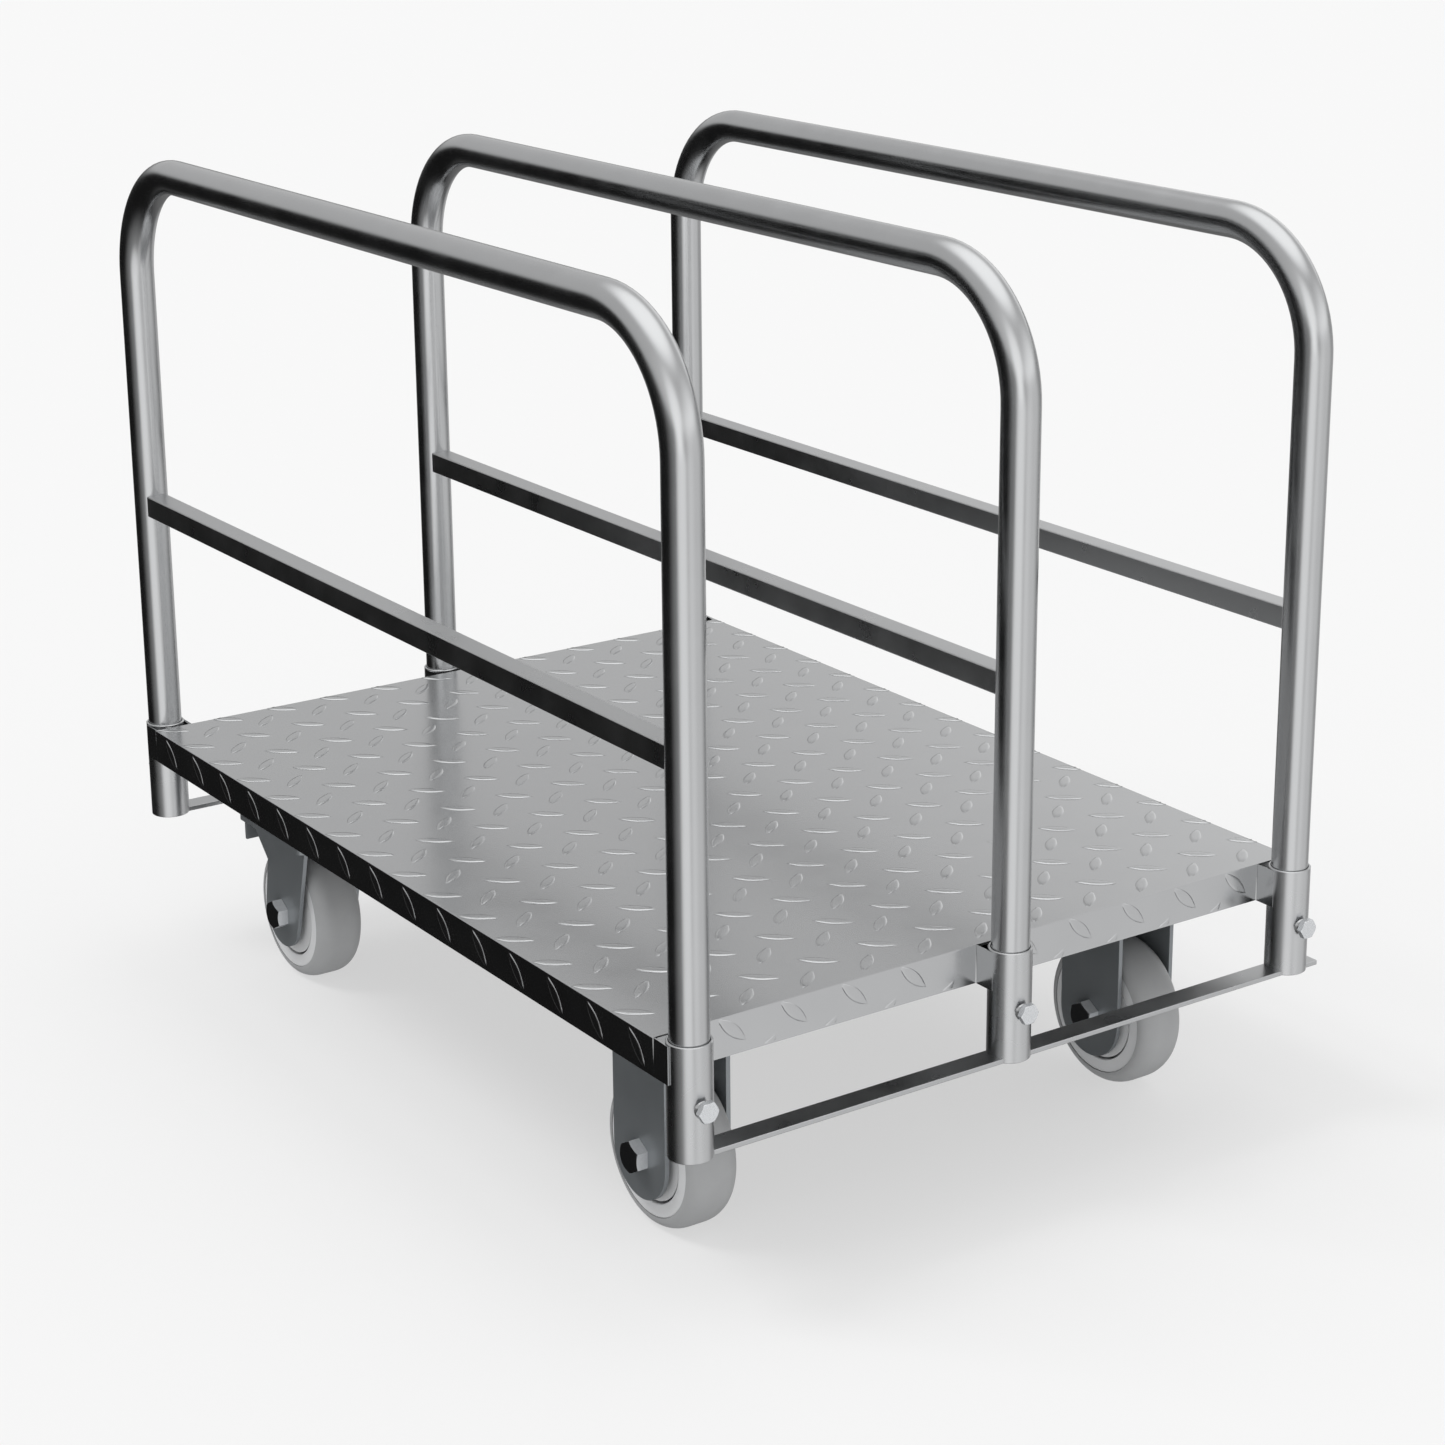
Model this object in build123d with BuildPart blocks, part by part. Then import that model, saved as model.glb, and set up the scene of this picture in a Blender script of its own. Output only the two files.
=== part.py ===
from math import acos, atan2, cos, hypot, sin
import os

from build123d import *

# Flatbed platform truck for sheet goods: a folded tread-plate deck on four casters, with
# three lift-out hoop frames in clamped sockets. Millimetres, +Z up. The origin is on the
# floor under the middle of the truck; +X is the end with the fixed casters, +Y the left side.

# ---------------------------------------------------------------- driving sizes
LEG_SPAN = 1116.0          # centre to centre of a hoop's two legs, along X
FRAME_PITCH = 371.0        # centre to centre of neighbouring hoops, along Y
WHEEL_RADIUS = 80.0
WHEEL_WIDTH = 56.0
TUBE_OD = 38.0             # hoop tube

SHEET = 1.5                # deck sheet
TREAD_HEIGHT = 1.0         # raised tread pattern, included in the deck's outer faces
SIDE_FLANGE = 38.0         # depth of the long turned-down edges, from the flat of the deck
END_FLANGE = 40.0          # depth of the short turned-down edges
END_GAP = 3.0              # deck end to the nearest point of a socket
WELD_GAP = 0.25            # clearance left at welded seams
OVERLAP = 1.0              # how far shapes of one piece run into each other
SEAT_GAP = 0.3             # gap under a part that only rests
HOLE_CLEARANCE = 0.1       # radial clearance round fixed bolts
RUNNING_FIT = 0.05         # radial clearance on turning shafts

TUBE_WALL = 2.0
BEND_RADIUS = 122.0        # centreline radius of the hoop's corners
RAIL_RISE = 654.5          # flat of the deck to the axis of the hoop's top rail
MID_BAR = 24.0             # square bar across each hoop
MID_BAR_WALL = 2.0
MID_BAR_RISE = 266.0       # flat of the deck to the axis of the mid bar

SOCKET_FIT = 0.5           # radial clearance of a leg in its socket
SOCKET_WALL = 2.25
SOCKET_LENGTH = 114.2
SOCKET_PROUD = 1.9         # socket mouth above the flat of the deck
SOCKET_CHAMFER = 0.8
RAIL_WIDTH = 26.0          # flat bar that ties the sockets' feet
RAIL_THICKNESS = 5.0
RAIL_SET_OUT = 0.8         # bar's centre line beyond the sockets' axes
RAIL_TAIL_LEFT = 33.0      # bar past the left corner socket's axis
RAIL_TAIL_RIGHT = 17.0     # bar past the right corner socket's axis

CLAMP_HEIGHT = 53.2        # clamp bolt's axis above the socket's foot
CLAMP_THREAD = 10.0
CLAMP_FLATS = 19.0
CLAMP_HEAD = 6.4
CLAMP_CHAMFER = 1.0
BOSS_OD = 15.0
BOSS_PROUD = 3.85          # boss face beyond the socket's wall

CROWN_FLAT = 18.0          # flat width left on the tread
TREAD_DEPTH = 14.0         # rubber over the rim
RIM_WALL = 14.0
RIM_SETBACK = 1.0          # tread's side to the rim's side
WEB = 12.0
BEARING_OD = 40.0
BEARING_WIDTH = 12.0
HUB_WALL = 7.0
GUARD_THICKNESS = 2.5
GUARD_GAP = 1.5            # thread guard's edge to the rim
GUARD_SETBACK = 0.5        # rim's side to the guard's outer face
AXLE = 16.0
AXLE_FLATS = 30.0
AXLE_HEAD = 13.0
AXLE_NUT = 13.0
KINGPIN_FLATS = 24.0
AXLE_SPARE = 4.0           # bolt's end past its nut
HUB_PLAY = 0.6             # side play between hub and fork leg

FORK_SHEET = 5.0
FORK_CLEARANCE = 5.0       # wheel's side to the fork leg
CASTER_INSET = 86.4        # corner socket's axis to the casters' middle, along Y
FIXED_SETBACK = 164.0      # corner socket's axis to the fixed casters' axles, along X
KINGPIN_SETBACK = 147.0    # corner socket's axis to the kingpins, along X
TRAIL = 40.0               # kingpin to axle of a swivel caster
FIXED_LEG_HALF = 45.5      # half the width of a fixed fork's leg
SWIVEL_LEG_RADIUS = 40.0   # round end of a swivel fork's leg
SWIVEL_LEG_FRONT = -36.0   # kingpin to the leg's leading edge at the crown
SWIVEL_WAIST_X = 9.0       # kingpin to the narrow point of the leg's leading edge
SWIVEL_WAIST_RISE = 57.0   # axle to that point
PLATE_THICKNESS = 6.0
PLATE_CORNER = 8.0
PLATE_MARGIN_X = 15.0      # hole's centre to the plate's edge
PLATE_MARGIN_Y = 9.5
HOLES_X = 84.0
PLATE_BOLT = 8.0
BUTTON_HEAD = 4.0
BUTTON_RADIUS = 7.5
BUTTON_CHAMFER = 1.2
BOLT_SPARE = 2.0           # plate bolt's end past its nut
PLATE_NUT_FLATS = 13.0
PLATE_NUT = 6.5
KINGPIN_HEAD_RADIUS = 16.0
KINGPIN_HEAD = 5.0
KINGPIN_ROOM = 2.0         # round the kingpin's head in the rear beam
KINGPIN_NUT = 8.0
RACE_INNER = 24.0
RACE_OUTER = 36.0
RACE_HEIGHT = 6.0          # plate to fork crown
RACE_CHAMFER = 1.5
CROWN_CLEARANCE = 24.0     # top of the wheel to the top of the fork crown
CROWN_SHEET = 4.0
CROWN_LIP = 12.0           # depth of the crown's turned-down edge
CROWN_OVERHANG = 8.0       # fork leg to the crown's side edge
CROWN_FRONT = 48.0         # kingpin to the crown's leading edge
CROWN_REAR = 108.0         # kingpin to the crown's trailing edge
SKIRT_DEPTH = 39.0         # leading edge turned down in front of the wheel

BEAM_MARGIN = 3.0          # caster plate's edge to the beam's edge
BEAM_HEIGHT = 40.0
BEAM_SHEET = 4.0
MEMBER_WIDTH = 50.0        # long members under the deck
MEMBER_HEIGHT = 34.5
MEMBER_WALL = 2.5

# ---------------------------------------------------------------- places worked out
LEG_X = LEG_SPAN / 2
HOOPS = {"right": -FRAME_PITCH, "middle": 0.0, "left": FRAME_PITCH}
ENDS = {"front": 1, "rear": -1}
SOCKET_BORE = TUBE_OD + 2 * SOCKET_FIT
SOCKET_OD = SOCKET_BORE + 2 * SOCKET_WALL

FORK_INNER = WHEEL_WIDTH / 2 + FORK_CLEARANCE
FORK_OUTER = FORK_INNER + FORK_SHEET
HOLES_Y = 2 * (FORK_OUTER + BUTTON_RADIUS + OVERLAP)
PLATE_LENGTH = HOLES_X + 2 * PLATE_MARGIN_X
PLATE_WIDTH = HOLES_Y + 2 * PLATE_MARGIN_Y
CASTER_Y = FRAME_PITCH - CASTER_INSET
SIDES = {"right": -CASTER_Y, "left": CASTER_Y}
FIXED_X = LEG_X - FIXED_SETBACK
KINGPIN_X = KINGPIN_SETBACK - LEG_X
SWIVEL_AXLE_X = KINGPIN_X + TRAIL

CROWN_TOP = 2 * WHEEL_RADIUS + CROWN_CLEARANCE
PLATE_UNDERSIDE = CROWN_TOP + RACE_HEIGHT
PLATE_TOP = PLATE_UNDERSIDE + PLATE_THICKNESS
BEAM_TOP = PLATE_TOP + BEAM_HEIGHT
DECK_UNDERSIDE = BEAM_TOP + MEMBER_HEIGHT
DECK_HEIGHT = DECK_UNDERSIDE + SHEET
DECK_HALF_LENGTH = LEG_X - SOCKET_OD / 2 - END_GAP
DECK_INNER_Y = FRAME_PITCH + SOCKET_OD / 2 + WELD_GAP
CREST_X = DECK_HALF_LENGTH + TREAD_HEIGHT
CREST_Y = DECK_INNER_Y + SHEET + TREAD_HEIGHT
CREST_Z = DECK_HEIGHT + TREAD_HEIGHT
RETURN_INNER = SOCKET_OD / 2 + WELD_GAP

SOCKET_TOP = DECK_HEIGHT + SOCKET_PROUD
SOCKET_FOOT = SOCKET_TOP - SOCKET_LENGTH
CLAMP_Z = SOCKET_FOOT + CLAMP_HEIGHT
RAIL_TOP = SOCKET_FOOT + RAIL_THICKNESS
LEG_FOOT = RAIL_TOP + SEAT_GAP
TOP_RAIL_Z = DECK_HEIGHT + RAIL_RISE
MID_BAR_Z = DECK_HEIGHT + MID_BAR_RISE

os.makedirs("parts", exist_ok=True)


def save(builder, name):
    """Label a finished piece and write it as its own STEP file."""
    builder.part.label = name
    export_step(builder.part, f"parts/{name}.step")


def slab(low, high, mode=Mode.ADD):
    """Box between two corners, for use inside a BuildPart block."""
    size = [b - a for a, b in zip(low, high)]
    middle = tuple((a + b) / 2 for a, b in zip(low, high))
    with Locations(middle):
        Box(*size, mode=mode)


# ---------------------------------------------------------------- deck
with BuildPart() as deck:
    slab((-CREST_X, -CREST_Y, DECK_UNDERSIDE), (CREST_X, CREST_Y, CREST_Z))
    for side in (-1, 1):
        edge = sorted((side * DECK_INNER_Y, side * CREST_Y))
        slab((-LEG_X, edge[0], DECK_HEIGHT - SIDE_FLANGE), (LEG_X, edge[1], CREST_Z))
    for end in (-1, 1):
        face = sorted((end * (DECK_HALF_LENGTH - SHEET), end * CREST_X))
        turned = sorted((end * (DECK_HALF_LENGTH - SHEET), end * LEG_X))
        for span in (-1, 0):
            start = span * FRAME_PITCH + RETURN_INNER
            stop = (span + 1) * FRAME_PITCH - RETURN_INNER
            foot = DECK_HEIGHT - END_FLANGE
            slab((face[0], start, foot), (face[1], stop, CREST_Z))
            slab((turned[0], start, foot), (turned[1], start + SHEET, CREST_Z))
            slab((turned[0], stop - SHEET, foot), (turned[1], stop, CREST_Z))
save(deck, "deck_plate")

# ---------------------------------------------------------------- underframe
MEMBER_LENGTH = 2 * (DECK_HALF_LENGTH - SHEET - WELD_GAP)
for name in HOOPS:
    centre_y = SIDES.get(name, 0.0)
    with BuildPart() as member:
        with BuildSketch(Plane.YZ.offset(-MEMBER_LENGTH / 2)):
            with Locations((centre_y, BEAM_TOP + MEMBER_HEIGHT / 2)):
                Rectangle(MEMBER_WIDTH, MEMBER_HEIGHT)
                Rectangle(MEMBER_WIDTH - 2 * MEMBER_WALL, MEMBER_HEIGHT - 2 * MEMBER_WALL, mode=Mode.SUBTRACT)
        extrude(amount=MEMBER_LENGTH)
    save(member, f"{name}_long_member")

BEAM_LENGTH = 2 * (CASTER_Y + PLATE_WIDTH / 2 + BEAM_MARGIN)
BEAM_WIDTH = PLATE_LENGTH + 2 * BEAM_MARGIN
for end, x in (("front", FIXED_X), ("rear", KINGPIN_X)):
    with BuildPart() as beam:
        with BuildSketch(Plane.XZ.offset(-BEAM_LENGTH / 2)):
            with Locations((x, PLATE_TOP + BEAM_HEIGHT / 2)):
                Rectangle(BEAM_WIDTH, BEAM_HEIGHT)
            with Locations((x, PLATE_TOP + (BEAM_HEIGHT + BEAM_SHEET) / 2)):
                Rectangle(BEAM_WIDTH - 2 * BEAM_SHEET, BEAM_HEIGHT - BEAM_SHEET, mode=Mode.SUBTRACT)
        extrude(amount=BEAM_LENGTH)
        for y in SIDES.values():
            with BuildSketch(Plane.XY.offset(PLATE_TOP)):
                with Locations((x, y)):
                    with GridLocations(HOLES_X, HOLES_Y, 2, 2):
                        Circle(PLATE_BOLT / 2 + HOLE_CLEARANCE)
                    if end == "rear":
                        Circle(KINGPIN_HEAD_RADIUS + KINGPIN_ROOM)
            extrude(amount=BEAM_SHEET, mode=Mode.SUBTRACT)
    save(beam, f"{end}_caster_beam")

# ---------------------------------------------------------------- sockets and cross rails
for end, sign in ENDS.items():
    rail_x = sign * (LEG_X + RAIL_SET_OUT)
    with BuildPart() as rail:
        slab((rail_x - RAIL_WIDTH / 2, -FRAME_PITCH - RAIL_TAIL_RIGHT, SOCKET_FOOT),
             (rail_x + RAIL_WIDTH / 2, FRAME_PITCH + RAIL_TAIL_LEFT, RAIL_TOP))
    save(rail, f"{end}_cross_rail")

    for name, y in HOOPS.items():
        with BuildPart() as socket:
            with BuildSketch(Plane.XY.offset(SOCKET_FOOT)):
                with Locations((sign * LEG_X, y)):
                    Circle(SOCKET_OD / 2)
            extrude(amount=SOCKET_LENGTH)
            chamfer(socket.edges().filter_by(GeomType.CIRCLE).sort_by(Axis.Z)[-1], SOCKET_CHAMFER)
            clamp_axis = Plane(origin=(sign * LEG_X, y, CLAMP_Z), x_dir=(0, 1, 0), z_dir=(sign, 0, 0))
            with BuildSketch(clamp_axis.offset(SOCKET_BORE / 2 + OVERLAP)):
                Circle(BOSS_OD / 2)
            extrude(amount=SOCKET_WALL + BOSS_PROUD - OVERLAP)
            with BuildSketch(Plane.XY.offset(SOCKET_FOOT)):
                with Locations((sign * LEG_X, y)):
                    Circle(SOCKET_BORE / 2)
            extrude(amount=SOCKET_LENGTH, mode=Mode.SUBTRACT)
            with BuildSketch(clamp_axis):
                Circle(CLAMP_THREAD / 2 + HOLE_CLEARANCE)
            extrude(amount=SOCKET_OD, mode=Mode.SUBTRACT)
            slab((rail_x - RAIL_WIDTH / 2 - HOLE_CLEARANCE, y - SOCKET_OD, SOCKET_FOOT - OVERLAP),
                 (rail_x + RAIL_WIDTH / 2 + HOLE_CLEARANCE, y + SOCKET_OD, RAIL_TOP + HOLE_CLEARANCE),
                 mode=Mode.SUBTRACT)
        save(socket, f"{end}_{name}_socket")

        head_face = SOCKET_OD / 2 + BOSS_PROUD + SEAT_GAP + CLAMP_HEAD
        with BuildPart() as clamp_bolt:
            with BuildSketch(clamp_axis.offset(TUBE_OD / 2 + SEAT_GAP)):
                Circle(CLAMP_THREAD / 2)
            extrude(amount=head_face - CLAMP_HEAD - TUBE_OD / 2 - SEAT_GAP)
            with BuildSketch(clamp_axis.offset(head_face - CLAMP_HEAD)):
                RegularPolygon(CLAMP_FLATS / 2, 6, major_radius=False)
            extrude(amount=CLAMP_HEAD)
            outer = clamp_bolt.faces().sort_by(Axis.X)[-1 if sign > 0 else 0]
            chamfer(outer.edges(), CLAMP_CHAMFER)
        save(clamp_bolt, f"{end}_{name}_clamp_bolt")

# ---------------------------------------------------------------- hoop frames
for name, y in HOOPS.items():
    hoop_plane = Plane(origin=(0, y, 0), x_dir=(1, 0, 0), z_dir=(0, -1, 0))
    with BuildPart() as hoop:
        with BuildLine(hoop_plane) as path:
            FilletPolyline((-LEG_X, LEG_FOOT), (-LEG_X, TOP_RAIL_Z), (LEG_X, TOP_RAIL_Z), (LEG_X, LEG_FOOT),
                           radius=BEND_RADIUS)
        with BuildSketch(Plane.XY.offset(LEG_FOOT)):
            with Locations((-LEG_X, y)):
                Circle(TUBE_OD / 2)
                Circle(TUBE_OD / 2 - TUBE_WALL, mode=Mode.SUBTRACT)
        sweep(path=path.line)
    save(hoop, f"{name}_hoop_tube")

    with BuildPart() as mid_bar:
        with BuildSketch(Plane.YZ.offset(-LEG_X)):
            with Locations((y, MID_BAR_Z)):
                Rectangle(MID_BAR, MID_BAR)
                Rectangle(MID_BAR - 2 * MID_BAR_WALL, MID_BAR - 2 * MID_BAR_WALL, mode=Mode.SUBTRACT)
        extrude(amount=LEG_SPAN)
        with BuildSketch(Plane.XY.offset(MID_BAR_Z - MID_BAR)):
            with Locations((-LEG_X, y), (LEG_X, y)):
                Circle(TUBE_OD / 2 + HOLE_CLEARANCE)
        extrude(amount=2 * MID_BAR, mode=Mode.SUBTRACT)
    save(mid_bar, f"{name}_mid_bar")


# ---------------------------------------------------------------- wheels
RIM_RADIUS = WHEEL_RADIUS - TREAD_DEPTH
RIM_INNER = RIM_RADIUS - RIM_WALL
RIM_WIDTH = WHEEL_WIDTH - 2 * RIM_SETBACK
HUB_RADIUS = BEARING_OD / 2 + HUB_WALL
GUARD_RADIUS = RIM_INNER - GUARD_GAP
GUARD_FACE = RIM_WIDTH / 2 - GUARD_SETBACK


def ring_profile(inner, outer, low, high):
    """Rectangle in the radius-width plane, for revolving about the wheel's axle."""
    with Locations(((inner + outer) / 2, (low + high) / 2)):
        Rectangle(outer - inner, high - low)


def wheel_pieces(prefix, x, y):
    """Tread, core, bearings and thread guards of one wheel, about an axle along Y."""
    section = Plane(origin=(x, y, WHEEL_RADIUS), x_dir=(1, 0, 0), z_dir=(0, 0, 1))
    axle = Axis((x, y, WHEEL_RADIUS), (0, 1, 0))
    half_flat = CROWN_FLAT / 2
    half_width = WHEEL_WIDTH / 2
    seat = RIM_RADIUS + RUNNING_FIT
    rounding = (WHEEL_RADIUS - seat, half_width - half_flat)
    with BuildPart() as tread:
        with BuildSketch(section):
            with BuildLine():
                Line((seat, half_width), (seat, -half_width))
                EllipticalCenterArc((seat, -half_flat), *rounding, start_angle=270, arc_size=90)
                Line((WHEEL_RADIUS, -half_flat), (WHEEL_RADIUS, half_flat))
                EllipticalCenterArc((seat, half_flat), *rounding, start_angle=0, arc_size=90)
            make_face()
        revolve(axis=axle)
    save(tread, f"{prefix}_tread")

    hub_half = FORK_INNER - HUB_PLAY
    with BuildPart() as core:
        with BuildSketch(section):
            ring_profile(BEARING_OD / 2, HUB_RADIUS, -hub_half, hub_half)
            ring_profile(HUB_RADIUS - OVERLAP, RIM_INNER + OVERLAP, -WEB / 2, WEB / 2)
            ring_profile(RIM_INNER, RIM_RADIUS, -RIM_WIDTH / 2, RIM_WIDTH / 2)
        revolve(axis=axle)
    save(core, f"{prefix}_core")

    with BuildPart() as bearings:
        with BuildSketch(section):
            for side in (-1, 1):
                edge = sorted((side * hub_half, side * (hub_half - BEARING_WIDTH)))
                ring_profile(AXLE / 2 + RUNNING_FIT, BEARING_OD / 2 - RUNNING_FIT, *edge)
        revolve(axis=axle)
    save(bearings, f"{prefix}_bearings")

    with BuildPart() as guards:
        with BuildSketch(section):
            for side in (-1, 1):
                edge = sorted((side * GUARD_FACE, side * (GUARD_FACE - GUARD_THICKNESS)))
                ring_profile(HUB_RADIUS + HOLE_CLEARANCE, GUARD_RADIUS, *edge)
        revolve(axis=axle)
    save(guards, f"{prefix}_thread_guards")


def axle_bolts(name, places):
    """Axle bolts with their hexagon heads on the right side."""
    with BuildPart() as bolts:
        for x, y in places:
            head = Plane(origin=(x, y - FORK_OUTER, WHEEL_RADIUS), x_dir=(1, 0, 0), z_dir=(0, -1, 0))
            with BuildSketch(head):
                RegularPolygon(AXLE_FLATS / 2, 6, major_radius=False, rotation=30)
            extrude(amount=AXLE_HEAD)
            with BuildSketch(head.offset(OVERLAP)):
                Circle(AXLE / 2)
            extrude(amount=-(OVERLAP + 2 * FORK_OUTER + AXLE_NUT + AXLE_SPARE))
    save(bolts, name)


def axle_nuts(name, places):
    """Nuts on the axle bolts' left ends."""
    with BuildPart() as nuts:
        for x, y in places:
            seat = Plane(origin=(x, y + FORK_OUTER, WHEEL_RADIUS), x_dir=(-1, 0, 0), z_dir=(0, 1, 0))
            with BuildSketch(seat):
                RegularPolygon(AXLE_FLATS / 2, 6, major_radius=False, rotation=30)
                Circle(AXLE / 2 + HOLE_CLEARANCE, mode=Mode.SUBTRACT)
            extrude(amount=AXLE_NUT)
    save(nuts, name)


for side, y in SIDES.items():
    wheel_pieces(f"front_{side}", FIXED_X, y)
    wheel_pieces(f"rear_{side}", SWIVEL_AXLE_X, y)

# ---------------------------------------------------------------- fixed casters
for side, y in SIDES.items():
    with BuildPart() as fork:
        with BuildSketch(Plane.XY.offset(PLATE_UNDERSIDE)):
            with Locations((FIXED_X, y)):
                RectangleRounded(PLATE_LENGTH, PLATE_WIDTH, PLATE_CORNER)
                with GridLocations(HOLES_X, HOLES_Y, 2, 2):
                    Circle(PLATE_BOLT / 2 + HOLE_CLEARANCE, mode=Mode.SUBTRACT)
        extrude(amount=PLATE_THICKNESS)
        for edge in (-FORK_OUTER, FORK_INNER):
            leg_plane = Plane(origin=(FIXED_X, y + edge, 0), x_dir=(-1, 0, 0), z_dir=(0, 1, 0))
            with BuildSketch(leg_plane):
                with Locations((0, WHEEL_RADIUS)):
                    Circle(FIXED_LEG_HALF)
                with Locations((0, (WHEEL_RADIUS + PLATE_UNDERSIDE + OVERLAP) / 2)):
                    Rectangle(2 * FIXED_LEG_HALF, PLATE_UNDERSIDE + OVERLAP - WHEEL_RADIUS)
                with Locations((0, WHEEL_RADIUS)):
                    Circle(AXLE / 2 + HOLE_CLEARANCE, mode=Mode.SUBTRACT)
            extrude(amount=FORK_SHEET)
    save(fork, f"front_{side}_fork")

FIXED_AXLES = [(FIXED_X, y) for y in SIDES.values()]
axle_bolts("front_axle_bolts", FIXED_AXLES)
axle_nuts("front_axle_nuts", FIXED_AXLES)


# ---------------------------------------------------------------- swivel casters
def tangent_point(start, centre, radius, turn):
    """Where a straight edge from start meets a round end, on the side that turn picks."""
    dx, dz = start[0] - centre[0], start[1] - centre[1]
    angle = atan2(dz, dx) + turn * acos(radius / hypot(dx, dz))
    return centre[0] + radius * cos(angle), centre[1] + radius * sin(angle)


LEG_TOP = CROWN_TOP - CROWN_SHEET + OVERLAP
AXLE_END = (TRAIL, WHEEL_RADIUS)
LEG_FRONT = (SWIVEL_LEG_FRONT, LEG_TOP)
LEG_WAIST = (SWIVEL_WAIST_X, WHEEL_RADIUS + SWIVEL_WAIST_RISE)
LEG_REAR = (CROWN_REAR, LEG_TOP)
WAIST_TANGENT = tangent_point(LEG_WAIST, AXLE_END, SWIVEL_LEG_RADIUS, 1)
REAR_TANGENT = tangent_point(LEG_REAR, AXLE_END, SWIVEL_LEG_RADIUS, -1)
CROWN_HALF_WIDTH = FORK_OUTER + CROWN_OVERHANG
CROWN_LENGTH = CROWN_FRONT + CROWN_REAR
CROWN_MIDDLE = KINGPIN_X + (CROWN_REAR - CROWN_FRONT) / 2
CROWN_UNDERSIDE = CROWN_TOP - CROWN_SHEET

for side, y in SIDES.items():
    with BuildPart() as top_plate:
        with BuildSketch(Plane.XY.offset(PLATE_UNDERSIDE)):
            with Locations((KINGPIN_X, y)):
                RectangleRounded(PLATE_LENGTH, PLATE_WIDTH, PLATE_CORNER)
                Circle(AXLE / 2 + HOLE_CLEARANCE, mode=Mode.SUBTRACT)
                with GridLocations(HOLES_X, HOLES_Y, 2, 2):
                    Circle(PLATE_BOLT / 2 + HOLE_CLEARANCE, mode=Mode.SUBTRACT)
        extrude(amount=PLATE_THICKNESS)
    save(top_plate, f"rear_{side}_top_plate")

    with BuildPart() as fork:
        with BuildSketch(Plane.XY.offset(CROWN_TOP - CROWN_LIP)):
            with Locations((CROWN_MIDDLE, y)):
                RectangleRounded(CROWN_LENGTH, 2 * CROWN_HALF_WIDTH, PLATE_CORNER)
                RectangleRounded(CROWN_LENGTH - 2 * CROWN_SHEET, 2 * (CROWN_HALF_WIDTH - CROWN_SHEET),
                                 PLATE_CORNER - CROWN_SHEET, mode=Mode.SUBTRACT)
        extrude(amount=CROWN_LIP - OVERLAP)
        with BuildSketch(Plane.XY.offset(CROWN_UNDERSIDE)):
            with Locations((CROWN_MIDDLE, y)):
                RectangleRounded(CROWN_LENGTH, 2 * CROWN_HALF_WIDTH, PLATE_CORNER)
        extrude(amount=CROWN_SHEET)
        skirt_x = KINGPIN_X - CROWN_FRONT
        skirt_y = CROWN_HALF_WIDTH - PLATE_CORNER
        slab((skirt_x, y - skirt_y, CROWN_TOP - SKIRT_DEPTH),
             (skirt_x + CROWN_SHEET, y + skirt_y, CROWN_TOP - OVERLAP))
        for edge in (-FORK_OUTER, FORK_INNER):
            leg_plane = Plane(origin=(KINGPIN_X, y + edge + FORK_SHEET, 0), x_dir=(1, 0, 0), z_dir=(0, -1, 0))
            with BuildSketch(leg_plane):
                with BuildLine():
                    Polyline(WAIST_TANGENT, LEG_WAIST, LEG_FRONT, LEG_REAR, REAR_TANGENT)
                    ThreePointArc(REAR_TANGENT, (TRAIL, WHEEL_RADIUS - SWIVEL_LEG_RADIUS), WAIST_TANGENT)
                make_face()
                with Locations(AXLE_END):
                    Circle(AXLE / 2 + HOLE_CLEARANCE, mode=Mode.SUBTRACT)
            extrude(amount=FORK_SHEET)
        with BuildSketch(Plane.XY.offset(CROWN_TOP - CROWN_LIP)):
            with Locations((KINGPIN_X, y)):
                Circle(AXLE / 2 + RUNNING_FIT)
        extrude(amount=CROWN_LIP + OVERLAP, mode=Mode.SUBTRACT)
    save(fork, f"rear_{side}_fork")

    axle_bolts(f"rear_{side}_axle_bolt", [(SWIVEL_AXLE_X, y)])
    axle_nuts(f"rear_{side}_axle_nut", [(SWIVEL_AXLE_X, y)])

with BuildPart() as kingpins:
    for y in SIDES.values():
        with BuildSketch(Plane.XY.offset(PLATE_TOP)):
            with Locations((KINGPIN_X, y)):
                Circle(KINGPIN_HEAD_RADIUS)
        extrude(amount=KINGPIN_HEAD)
        with BuildSketch(Plane.XY.offset(CROWN_UNDERSIDE - SEAT_GAP - KINGPIN_NUT)):
            with Locations((KINGPIN_X, y)):
                Circle(AXLE / 2)
        extrude(amount=PLATE_TOP - CROWN_UNDERSIDE + SEAT_GAP + KINGPIN_NUT + OVERLAP)
        with BuildSketch(Plane.XY.offset(CROWN_UNDERSIDE - SEAT_GAP - KINGPIN_NUT)):
            with Locations((KINGPIN_X, y)):
                RegularPolygon(KINGPIN_FLATS / 2, 6, major_radius=False)
        extrude(amount=KINGPIN_NUT)
save(kingpins, "rear_kingpins")

with BuildPart() as races:
    with BuildSketch(Plane.XY.offset(CROWN_TOP + SEAT_GAP)):
        with Locations(*[(KINGPIN_X, y) for y in SIDES.values()]):
            Circle(RACE_OUTER)
            Circle(RACE_INNER, mode=Mode.SUBTRACT)
    extrude(amount=RACE_HEIGHT - SEAT_GAP)
    lower_edges = races.edges().filter_by(GeomType.CIRCLE).group_by(Axis.Z)[0]
    chamfer(lower_edges.sort_by(SortBy.RADIUS)[-2:], RACE_CHAMFER)
save(races, "rear_swivel_races")

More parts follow.
